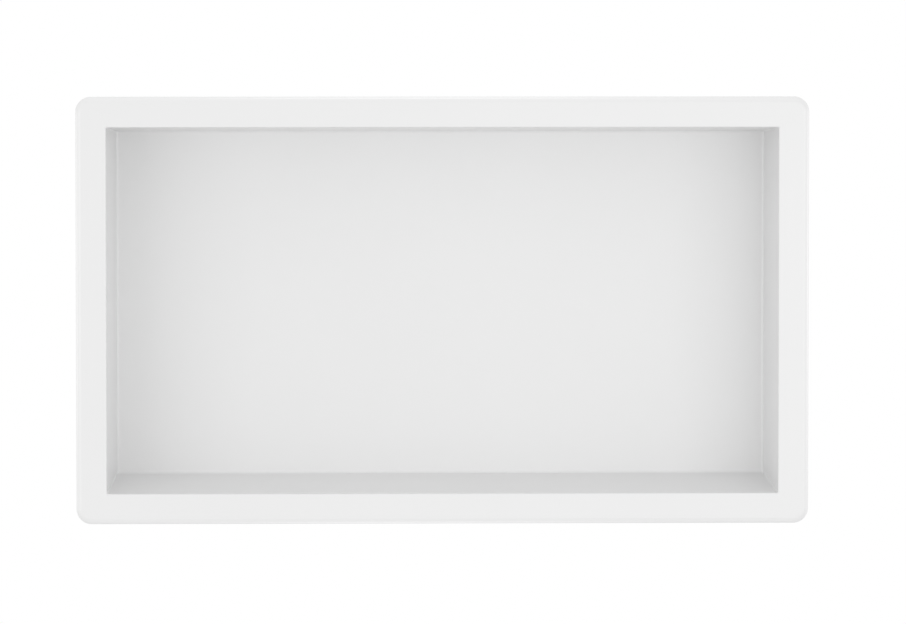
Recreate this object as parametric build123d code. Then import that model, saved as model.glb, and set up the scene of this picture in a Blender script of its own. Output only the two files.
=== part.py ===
from build123d import *
import os
from math import cos, radians, tan

# A shower niche insert cast in one piece: a shallow pan, open at the front, with a broad flange
# round its mouth that covers the cut edge of the wall. Millimetres and degrees.
# +X runs to the right, +Y into the wall and +Z up. The origin is the centre of the flange's back
# face, which beds on the wall, so the mouth faces -Y and the pan lies at positive Y.

# Mouth of the pan, in the plane of the flange's front face
OPENING_WIDTH = 558.8
OPENING_HEIGHT = 304.8
LIP_RADIUS = 1.0

# Flange round the mouth. Its front edge is rounded down to a narrow flat that meets the wall.
FLANGE_BORDER = 25.4
FLANGE_THICKNESS = 6.4
FLANGE_CORNER_RADIUS = 12.7
FLANGE_EDGE_FLAT = 1.4

# Pan behind the flange. The sides and ceiling lean in towards the back so that the casting leaves
# its mould, and the shelf rises towards the back so that it sheds water into the shower. Where two
# walls meet, the corner is crisp, and where they meet the back, it is a soft cove.
OVERALL_DEPTH = 101.6
WALL_THICKNESS = 6.0
WALL_DRAFT = 3.5
SHELF_PITCH = 5.5
WALL_CORNER_RADIUS = 1.0
BACK_COVE_RADIUS = 2.5
ROOT_FILLET_RADIUS = 3.0

# Sizes that follow from the ones above
FLANGE_WIDTH = OPENING_WIDTH + 2 * FLANGE_BORDER
FLANGE_HEIGHT = OPENING_HEIGHT + 2 * FLANGE_BORDER
FLANGE_EDGE_RADIUS = FLANGE_THICKNESS - FLANGE_EDGE_FLAT

# Places along Y. The pan starts inside the flange, so that the two fuse, and the hollow starts in
# front of the flange, so that the mouth is cut right through.
FRONT_FACE = -FLANGE_THICKNESS
PAN_START = FRONT_FACE / 2
PAN_BACK = OVERALL_DEPTH - FLANGE_THICKNESS
HOLLOW_START = FRONT_FACE - FLANGE_THICKNESS
HOLLOW_BACK = PAN_BACK - WALL_THICKNESS

# Flat faces that lie square to Y, in their order from the front
FLANGE_FRONT_FACE = 0
FLANGE_BACK_FACE = 1


def inset(angle, depth, growth):
    """How far a leaning wall stands inside the mouth's edge at a place along Y.

    Growth moves the whole wall outwards, measured square to it.
    """
    return (depth - FRONT_FACE) * tan(radians(angle)) - growth / cos(radians(angle))


def tapered_block(front, back, growth):
    """The pan's form between two places along Y, rounded everywhere but at its front.

    It is what two wedges share: one drawn in plan, which has the side walls, and one drawn from
    the right, which has the ceiling and the shelf. Growth moves its faces outwards, and its
    roundings grow with them, so that the wall between two such blocks is even.
    """

    def half_width(depth):
        return OPENING_WIDTH / 2 - inset(WALL_DRAFT, depth, growth)

    def ceiling(depth):
        return OPENING_HEIGHT / 2 - inset(WALL_DRAFT, depth, growth)

    def shelf(depth):
        return inset(SHELF_PITCH, depth, growth) - OPENING_HEIGHT / 2

    plan = Polyline(
        (-half_width(front), front),
        (half_width(front), front),
        (half_width(back), back),
        (-half_width(back), back),
        close=True,
    )
    profile = Polyline(
        (front, shelf(front)),
        (back, shelf(back)),
        (back, ceiling(back)),
        (front, ceiling(front)),
        close=True,
    )
    plan_wedge = extrude(make_face(plan), amount=FLANGE_HEIGHT, both=True)
    profile_wedge = extrude(Plane.YZ * make_face(profile), amount=FLANGE_WIDTH, both=True)
    block = plan_wedge & profile_wedge
    cove_radius = BACK_COVE_RADIUS + growth
    block = fillet(block.edges().group_by(Axis.Y)[-1], cove_radius)
    # The edges whose middles lie between the front and the cove are those where two walls meet
    wall_corners = block.edges().filter_by_position(Axis.Y, front, back - cove_radius, (False, False))
    return fillet(wall_corners, WALL_CORNER_RADIUS + growth)


def flange_plate():
    """The flange before the mouth is cut: a flat back, and a rounded edge all round the front."""
    outline = RectangleRounded(FLANGE_WIDTH, FLANGE_HEIGHT, FLANGE_CORNER_RADIUS)
    plate = extrude(Plane.XZ * outline, amount=FLANGE_THICKNESS)
    return fillet(plate.edges().group_by(Axis.Y)[0], FLANGE_EDGE_RADIUS)


def inner_edges(solid, order):
    """Inner boundary of one of the flat faces that lie square to Y."""
    flats = solid.faces().filter_by(Plane.XZ).sort_by(Axis.Y)
    return flats[order].inner_wires()[0].edges()


def niche_insert():
    """The whole casting: flange and pan in one, hollowed to an even wall."""
    casting = flange_plate() + tapered_block(PAN_START, PAN_BACK, WALL_THICKNESS)
    casting = fillet(inner_edges(casting, FLANGE_BACK_FACE), ROOT_FILLET_RADIUS)
    casting -= tapered_block(HOLLOW_START, HOLLOW_BACK, 0)
    return fillet(inner_edges(casting, FLANGE_FRONT_FACE), LIP_RADIUS)


os.makedirs("parts", exist_ok=True)
export_step(niche_insert(), "parts/niche_insert.step")
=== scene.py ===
import math
from collections import namedtuple

import bmesh
import bpy
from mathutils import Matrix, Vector


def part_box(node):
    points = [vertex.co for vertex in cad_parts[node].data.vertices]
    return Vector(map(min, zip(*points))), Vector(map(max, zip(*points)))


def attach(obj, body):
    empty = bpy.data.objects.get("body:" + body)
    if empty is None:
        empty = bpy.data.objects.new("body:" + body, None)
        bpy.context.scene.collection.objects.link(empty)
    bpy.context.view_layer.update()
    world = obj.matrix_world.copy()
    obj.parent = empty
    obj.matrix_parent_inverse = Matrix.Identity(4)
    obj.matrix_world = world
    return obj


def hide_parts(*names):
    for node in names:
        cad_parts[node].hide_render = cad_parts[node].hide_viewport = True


# A white cast shower niche insert, seen almost square on, against plain white.
# Metres and radians. +X runs to the right, +Y into the wall and +Z up, and the mouth faces -Y.
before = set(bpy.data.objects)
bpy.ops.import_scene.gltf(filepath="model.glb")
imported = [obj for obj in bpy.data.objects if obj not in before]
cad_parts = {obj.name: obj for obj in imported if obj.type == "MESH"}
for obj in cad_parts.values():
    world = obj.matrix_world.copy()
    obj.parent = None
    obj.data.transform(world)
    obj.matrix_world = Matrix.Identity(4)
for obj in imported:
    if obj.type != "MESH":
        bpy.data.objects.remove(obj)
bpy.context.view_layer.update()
casting_low, casting_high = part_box("niche_insert")

MM = 0.001

# Sizes of the casting that its box doesn't give
FLANGE_BORDER = 25.4 * MM
FLANGE_EDGE_FLAT = 1.4 * MM
WALL_THICKNESS = 6.0 * MM
WALL_DRAFT = math.radians(3.5)
SHELF_PITCH = math.radians(5.5)

# Places along Y, from the mouth to the rear
FRONT_FACE = casting_low.y
FLANGE_BACK = 0.0
HOLLOW_BACK = casting_high.y - WALL_THICKNESS
PAN_BACK = casting_high.y

# Half sizes of the flange and of the mouth in it
FLANGE_X = casting_high.x
FLANGE_Z = casting_high.z
MOUTH_X = FLANGE_X - FLANGE_BORDER
MOUTH_Z = FLANGE_Z - FLANGE_BORDER

# Roundings inside the pan. Those outside are larger by the wall's thickness.
WALL_CORNER_RADIUS = 1.0 * MM
BACK_COVE_RADIUS = 2.5 * MM
PAN_SEGMENTS = 8

# Roundings round the flange and the mouth
Rounding = namedtuple("Rounding", "radius segments")
FLANGE_CORNER = Rounding(12.7 * MM, 12)
FLANGE_FRONT_EDGE = Rounding(FLANGE_BACK - FRONT_FACE - FLANGE_EDGE_FLAT, 8)
FLANGE_BACK_EDGE = Rounding(0.4 * MM, 2)
LIP = Rounding(1.0 * MM, 6)
ROOT_FILLET = Rounding(3.0 * MM, 5)

# An edge that turns by more than this is still to be rounded
SHARP_TURN = math.radians(20)
# Points that are nearer than this along an axis lie at the same place on it
CLOSE = 0.01 * MM

# The two finishes of the casting. A tone is the share of light that the white gives back. Tone and
# roughness wander between two values, and the skin is a fine relief. A noise has about as many
# waves to the metre as its scale says, and as many finer layers as its detail says.
Noise = namedtuple("Noise", "scale detail")
Finish = namedtuple("Finish", "name tones cloud roughness polish skin_height skin")
# The face that is seen: even white with a soft gloss
SATIN_WHITE = Finish(
    name="satin_white",
    tones=(0.792, 0.808),
    cloud=Noise(7.0, 3.0),
    roughness=(0.29, 0.37),
    polish=Noise(45.0, 4.0),
    skin_height=0.01 * MM,
    skin=Noise(160.0, 2.0),
)
# The rear, as it left the mould: the same white, duller and a little grainy
AS_CAST_WHITE = Finish(
    name="as_cast_white",
    tones=(0.74, 0.85),
    cloud=Noise(26.0, 6.0),
    roughness=(0.55, 0.70),
    polish=Noise(26.0, 6.0),
    skin_height=0.08 * MM,
    skin=Noise(420.0, 3.0),
)
FINISHES = [SATIN_WHITE, AS_CAST_WHITE]

# The photograph's camera: a long lens, a little to the left of the niche and above it
CAMERA_DISTANCE = 5.5
CAMERA_AZIMUTH = math.radians(-1.3)
CAMERA_ELEVATION = math.radians(3.37)
CAMERA_AIM = Vector((8.46 * MM, FRONT_FACE, -1.04 * MM))
CAMERA_LENS_MM = 263.0
CAMERA_SENSOR_MM = 36.0

# The room: a pale floor that fades into the white round it, and an even light from all sides
FLOOR_Z = -1.2
FLOOR_RADIUS = 3.0
FLOOR_SIDES = 64
FLOOR_FADE_START = 0.8
FLOOR_TONE = 0.78
AMBIENT_LIGHT = 0.835

# Soft lamps. A direction from the niche is an azimuth to the right and an elevation, in degrees,
# a size is a width and a height, and a power is in watts. The first three lamps light the mouth,
# and the others, which stand a little behind the flange, light its rim.
Lamp = namedtuple("Lamp", "name azimuth elevation distance width height watts")
LAMPS = [
    Lamp("left_lamp", -41, 0, 1.8, 1.1, 0.6, 3.9),
    Lamp("middle_lamp", 5, -3.5, 1.8, 0.32, 0.5, 0.95),
    Lamp("right_lamp", 31, 0, 1.8, 1.1, 0.6, 4.3),
    Lamp("left_rim_lamp", -98, 0, 1.0, 0.3, 0.3, 0.6),
    Lamp("right_rim_lamp", 98, 0, 1.0, 0.3, 0.3, 0.75),
    Lamp("top_rim_lamp", 180, 82, 1.0, 0.3, 0.3, 1.2),
    Lamp("bottom_rim_lamp", 180, -82, 1.0, 0.3, 0.3, 1.1),
]

# Sockets of a Mix node that mixes two colours
MIX_FACTOR, MIX_FIRST, MIX_SECOND = 0, 6, 7
MIX_RESULT = 2


class Wire:
    """An output of a shader node. A sum or a product with it adds a Math node."""

    def __init__(self, nodes, output):
        self.nodes = nodes
        self.output = output

    def math(self, operation, first, second):
        return self.nodes.add("ShaderNodeMath", {"operation": operation}, {0: first, 1: second})

    def __add__(self, other):
        return self.math("ADD", self, other)

    def __radd__(self, other):
        return self.math("ADD", other, self)

    def __mul__(self, other):
        return self.math("MULTIPLY", self, other)

    def __rmul__(self, other):
        return self.math("MULTIPLY", other, self)


class Nodes:
    """The node tree of a material or of the world, emptied and ready to fill."""

    def __init__(self, owner):
        owner.use_nodes = True
        self.tree = owner.node_tree
        self.tree.nodes.clear()

    def add(self, kind, settings=None, inputs=None, output=0):
        """Makes a node, sets it up, fills or links its inputs, and returns one of its outputs."""
        node = self.tree.nodes.new(kind)
        for name, value in (settings or {}).items():
            setattr(node, name, value)
        for name, value in (inputs or {}).items():
            if isinstance(value, Wire):
                self.tree.links.new(value.output, node.inputs[name])
            else:
                node.inputs[name].default_value = value
        return Wire(self, node.outputs[output]) if node.outputs else None


def grey(level):
    """A neutral colour."""
    return (level, level, level, 1.0)


def cast_material(finish):
    """The casting's material in one of its finishes."""
    material = bpy.data.materials.new(finish.name)
    nodes = Nodes(material)
    place = nodes.add("ShaderNodeTexCoord", output="Object")

    def noise(pattern):
        inputs = {"Vector": place, "Scale": pattern.scale, "Detail": pattern.detail}
        return nodes.add("ShaderNodeTexNoise", inputs=inputs)

    darkest, lightest = finish.tones
    tone = nodes.add(
        "ShaderNodeMix",
        {"data_type": "RGBA"},
        {MIX_FACTOR: noise(finish.cloud), MIX_FIRST: grey(darkest), MIX_SECOND: grey(lightest)},
        output=MIX_RESULT,
    )
    skin = nodes.add(
        "ShaderNodeBump",
        inputs={"Height": noise(finish.skin), "Distance": finish.skin_height},
    )
    glossiest, dullest = finish.roughness
    surface = nodes.add(
        "ShaderNodeBsdfPrincipled",
        inputs={
            "Base Color": tone,
            "Roughness": glossiest + (dullest - glossiest) * noise(finish.polish),
            "Normal": skin,
        },
    )
    nodes.add("ShaderNodeOutputMaterial", inputs={"Surface": surface})
    return material


def floor_paint():
    """Pale paint that fades out away from the niche, and is clear from below."""
    material = bpy.data.materials.new("floor_paint")
    nodes = Nodes(material)
    place = nodes.add("ShaderNodeTexCoord", output="Object")
    flat = nodes.add("ShaderNodeVectorMath", {"operation": "MULTIPLY"}, {0: place, 1: (1.0, 1.0, 0.0)})
    reach = nodes.add("ShaderNodeVectorMath", {"operation": "LENGTH"}, {0: flat}, output="Value")
    fade = nodes.add(
        "ShaderNodeMapRange",
        {"interpolation_type": "SMOOTHSTEP"},
        {"Value": reach, "From Min": FLOOR_FADE_START, "From Max": FLOOR_RADIUS},
    )
    underside = nodes.add("ShaderNodeNewGeometry", output="Backfacing")
    paint = nodes.add("ShaderNodeBsdfDiffuse", inputs={"Color": grey(FLOOR_TONE)})
    clear = nodes.add("ShaderNodeBsdfTransparent")
    surface = nodes.add("ShaderNodeMixShader", inputs={"Fac": fade + underside, 1: paint, 2: clear})
    nodes.add("ShaderNodeOutputMaterial", inputs={"Surface": surface})
    return material


def add_object(name, data):
    """Puts a new object in the scene."""
    new_object = bpy.data.objects.new(name, data)
    bpy.context.scene.collection.objects.link(new_object)
    return new_object


def add_form(name, bm, materials=()):
    """Puts a form in the scene as a mesh object."""
    mesh = bpy.data.meshes.new(name)
    bm.to_mesh(mesh)
    bm.free()
    for material in materials:
        mesh.materials.append(material)
    return add_object(name, mesh)


def face_niche(holder, aim, azimuth, elevation, distance):
    """Stands a camera or a lamp at a distance from a point, turned to face it.

    The azimuth runs to the right from straight in front, and the elevation upwards.
    """
    direction = Vector(
        (
            math.sin(azimuth) * math.cos(elevation),
            -math.cos(azimuth) * math.cos(elevation),
            math.sin(elevation),
        )
    )
    holder.location = aim + distance * direction
    holder.rotation_euler = direction.to_track_quat("Z", "Y").to_euler()


# A rectangle square to Y, with its middle at X = 0
Section = namedtuple("Section", "y half_width bottom top")


def inset(angle, y, growth):
    """How far a leaning wall stands inside the mouth's edge at a place along Y."""
    return (y - FRONT_FACE) * math.tan(angle) - growth / math.cos(angle)


def pan_section(y, growth=0.0):
    """Section of the leaning pan at a place along Y, grown outwards square to its walls."""
    lean = inset(WALL_DRAFT, y, growth)
    rise = inset(SHELF_PITCH, y, growth)
    return Section(y, MOUTH_X - lean, rise - MOUTH_Z, MOUTH_Z - lean)


def flange_section(y):
    """Outline of the flange at a place along Y."""
    return Section(y, FLANGE_X, -FLANGE_Z, FLANGE_Z)


def place_corners(face, section):
    """Moves a face's four corners to a section's corners."""
    for vert in face.verts:
        half_width = math.copysign(section.half_width, vert.co.x)
        vert.co = Vector((half_width, section.y, section.top if vert.co.z > 0 else section.bottom))


def pull(bm, face, section, finish):
    """Extrudes a face to a section, gives the new faces a finish and returns the moved face."""
    before = set(bm.faces)
    (cap,) = bmesh.ops.extrude_discrete_faces(bm, faces=[face])["faces"]
    place_corners(cap, section)
    for new_face in set(bm.faces) - before:
        new_face.material_index = FINISHES.index(finish)
    return cap


def square_casting():
    """The casting with square edges, pulled from its rear face round to the back of the hollow."""
    bm = bmesh.new()
    for vert in bmesh.ops.create_grid(bm, x_segments=1, y_segments=1, size=1.0)["verts"]:
        vert.co = Vector((vert.co.x, 0.0, vert.co.y))
    (face,) = bm.faces
    place_corners(face, pan_section(PAN_BACK, WALL_THICKNESS))
    face = pull(bm, face, pan_section(FLANGE_BACK, WALL_THICKNESS), AS_CAST_WHITE)
    face = pull(bm, face, flange_section(FLANGE_BACK), AS_CAST_WHITE)
    face = pull(bm, face, flange_section(FRONT_FACE), SATIN_WHITE)
    face = pull(bm, face, pan_section(FRONT_FACE), SATIN_WHITE)
    pull(bm, face, pan_section(HOLLOW_BACK), SATIN_WHITE)
    (rear,) = bmesh.ops.holes_fill(bm, edges=[edge for edge in bm.edges if edge.is_boundary])["faces"]
    rear.material_index = FINISHES.index(AS_CAST_WHITE)
    bmesh.ops.recalc_face_normals(bm, faces=bm.faces)
    return bm


def at(y, *points):
    """Whether all the points lie at a place along Y."""
    return all(abs(point.y - y) < CLOSE for point in points)


def on_rim(*points):
    """Whether all the points lie in the outer half of the flange's border."""
    x, z = MOUTH_X + FLANGE_BORDER / 2, MOUTH_Z + FLANGE_BORDER / 2
    return all(abs(point.x) > x or abs(point.z) > z for point in points)


def in_hollow(*points):
    """Whether all the points lie on the walls of the hollow."""
    x, y, z = MOUTH_X + CLOSE, HOLLOW_BACK + CLOSE, MOUTH_Z + CLOSE
    return all(abs(point.x) < x and point.y < y and abs(point.z) < z for point in points)


def round_pan(bm):
    """Rounds the pan's edges inside and out, and returns the new form.

    Its corners and coves have radii of their own and meet at each corner of the back, so one
    weighted bevel makes them all.
    """
    largest_radius = BACK_COVE_RADIUS + WALL_THICKNESS
    weight = bm.edges.layers.float.new("bevel_weight_edge")
    for edge in bm.edges:
        first, second = [vert.co for vert in edge.verts]
        in_flange = at(FRONT_FACE, first, second) or at(FLANGE_BACK, first, second)
        if in_flange or on_rim(first) or on_rim(second):
            continue
        radius = BACK_COVE_RADIUS if at(first.y, second) else WALL_CORNER_RADIUS
        if not in_hollow(first, second):
            radius += WALL_THICKNESS
        edge[weight] = radius / largest_radius
    draft = add_form("pan_draft", bm)
    rounding = draft.modifiers.new("rounding", "BEVEL")
    rounding.limit_method = "WEIGHT"
    rounding.width = largest_radius
    rounding.segments = PAN_SEGMENTS
    rounding.use_clamp_overlap = False
    rounded = bmesh.new()
    rounded.from_object(draft, bpy.context.evaluated_depsgraph_get())
    # The draft object goes with its mesh
    bpy.data.meshes.remove(draft.data)
    return rounded


def round_edges(bm, rounding, wanted):
    """Rounds the sharp edges whose two ends pass a test."""
    edges = [
        edge
        for edge in bm.edges
        if edge.calc_face_angle(0.0) > SHARP_TURN and wanted(*[vert.co for vert in edge.verts])
    ]
    bmesh.ops.bevel(
        bm,
        geom=edges,
        offset=rounding.radius,
        offset_type="OFFSET",
        segments=rounding.segments,
        profile=0.5,
        affect="EDGES",
        material=-1,
    )


def niche_shell():
    """The casting with all its edges rounded, in its two finishes."""
    bm = round_pan(square_casting())
    round_edges(bm, FLANGE_CORNER, lambda a, b: on_rim(a, b) and not at(a.y, b))
    round_edges(bm, FLANGE_FRONT_EDGE, lambda a, b: on_rim(a, b) and at(FRONT_FACE, a, b))
    round_edges(bm, LIP, lambda a, b: in_hollow(a, b) and at(FRONT_FACE, a, b))
    round_edges(bm, ROOT_FILLET, lambda a, b: not on_rim(a, b) and at(FLANGE_BACK, a, b))
    round_edges(bm, FLANGE_BACK_EDGE, lambda a, b: on_rim(a, b) and at(FLANGE_BACK, a, b))
    for face in bm.faces:
        face.smooth = True
    shell = add_form("niche_shell", bm, [cast_material(finish) for finish in FINISHES])
    shell.modifiers.new("even_flats", "WEIGHTED_NORMAL")
    return shell


def pale_floor():
    """A plain pale floor, as far below the niche as a shower's is."""
    bm = bmesh.new()
    bmesh.ops.create_circle(bm, cap_ends=True, segments=FLOOR_SIDES, radius=FLOOR_RADIUS)
    bmesh.ops.translate(bm, verts=bm.verts, vec=(0.0, 0.0, FLOOR_Z))
    return add_form("pale_floor", bm, [floor_paint()])


def white_surroundings():
    """An even white room: pure white where it is seen, and a plain light level on everything."""
    world = bpy.data.worlds.new("white_surroundings")
    nodes = Nodes(world)
    seen = nodes.add("ShaderNodeLightPath", output="Is Camera Ray")
    mirrored = nodes.add("ShaderNodeLightPath", output="Is Glossy Ray")
    looked_through = nodes.add("ShaderNodeLightPath", output="Is Transmission Ray")
    shown = seen + mirrored + looked_through
    ambient = nodes.add("ShaderNodeBackground", inputs={"Color": grey(1.0), "Strength": AMBIENT_LIGHT})
    white = nodes.add("ShaderNodeBackground", inputs={"Color": grey(1.0), "Strength": 1.0})
    sky = nodes.add("ShaderNodeMixShader", inputs={"Fac": shown, 1: ambient, 2: white})
    nodes.add("ShaderNodeOutputWorld", inputs={"Surface": sky})
    bpy.context.scene.world = world


def soft_lamp(lamp):
    """A soft lamp that faces the niche."""
    data = bpy.data.lights.new(lamp.name, "AREA")
    data.shape = "RECTANGLE"
    data.size = lamp.width
    data.size_y = lamp.height
    data.energy = lamp.watts
    holder = add_object(lamp.name, data)
    holder.visible_camera = False
    azimuth, elevation = math.radians(lamp.azimuth), math.radians(lamp.elevation)
    face_niche(holder, Vector(), azimuth, elevation, lamp.distance)


def photo_camera():
    """The camera at the photograph's viewing angle."""
    data = bpy.data.cameras.new("photo_camera")
    data.lens = CAMERA_LENS_MM
    data.sensor_fit = "HORIZONTAL"
    data.sensor_width = CAMERA_SENSOR_MM
    camera = add_object("photo_camera", data)
    face_niche(camera, CAMERA_AIM, CAMERA_AZIMUTH, CAMERA_ELEVATION, CAMERA_DISTANCE)
    bpy.context.scene.camera = camera


shell = niche_shell()
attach(shell, "root")
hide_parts("niche_insert")
pale_floor()
white_surroundings()
for lamp in LAMPS:
    soft_lamp(lamp)
photo_camera()
bpy.context.scene.view_settings.view_transform = "Standard"
